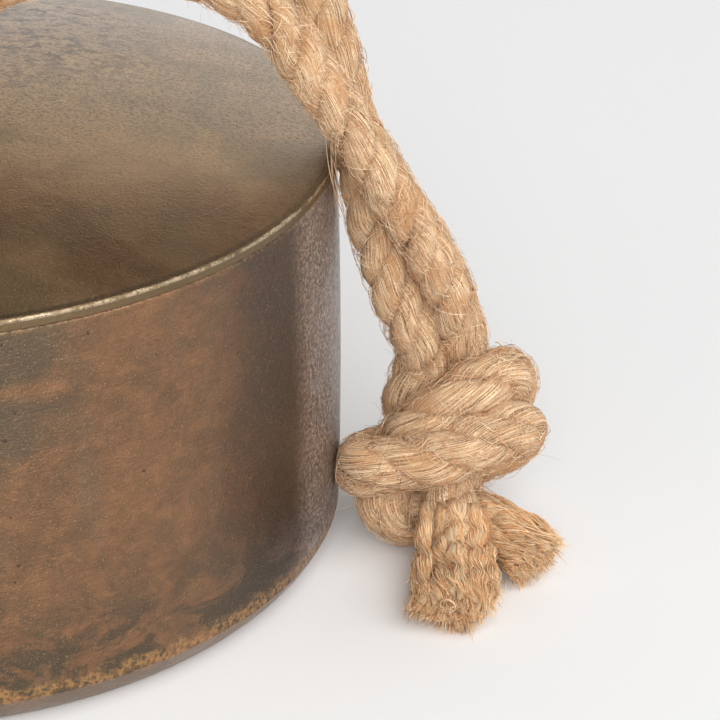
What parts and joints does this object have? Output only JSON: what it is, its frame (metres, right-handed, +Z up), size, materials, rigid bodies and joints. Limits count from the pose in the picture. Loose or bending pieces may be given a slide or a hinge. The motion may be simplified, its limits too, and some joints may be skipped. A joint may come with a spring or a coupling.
{
  "type": "ship bell",
  "caption": "Drum-shaped cast bell with a low domed head, standing on its mouth, with an eye bolt, inner clapper and a knotted rope lanyard.",
  "frame": {"origin": "centre of the bell's mouth, on the surface that it stands on", "axes": "+Z up along the bell's axis; -Y is the front; the rope's knot lies on the +X side"},
  "size_m": [0.3776, 0.307, 0.2518],
  "materials": {
    "bell_bronze": "aged cast bronze, brown patina with worn edges",
    "head_bronze": "aged cast bronze, fine cast grain",
    "forged_iron": "dark forged iron",
    "cast_iron_ball": "dark cast iron",
    "fitting_brass": "dull aged brass",
    "fitting_steel": "dull oiled steel",
    "jute_rope": "three-strand natural jute, hairy"
  },
  "bodies": {
    "bell": {"bell_skirt": "bell_bronze", "head_plate": "head_bronze", "eye_bolt": "forged_iron", "crown_washer": "fitting_brass", "inner_washer": "fitting_steel", "crown_nut": "fitting_steel", "jam_nut": "fitting_steel", "clapper_fork": "forged_iron", "fork_pin": "fitting_steel", "pin_washer": "fitting_steel", "split_pin": "fitting_brass", "rope_front_leg": "jute_rope", "rope_back_leg": "jute_rope", "rope_knot": "jute_rope", "rope_front_tail": "jute_rope", "rope_side_tail": "jute_rope"},
    "clapper": {"clapper_rod": "forged_iron", "clapper_ball": "cast_iron_ball", "ball_nut": "fitting_steel"}
  },
  "joints": [
    {"name": "clapper_swing", "type": "hinge", "parent": "bell", "child": "clapper", "pos_m": [0, 0, 0.126], "axis": [0, 1, 0], "range_deg": [-101, 13.3]}
  ]
}
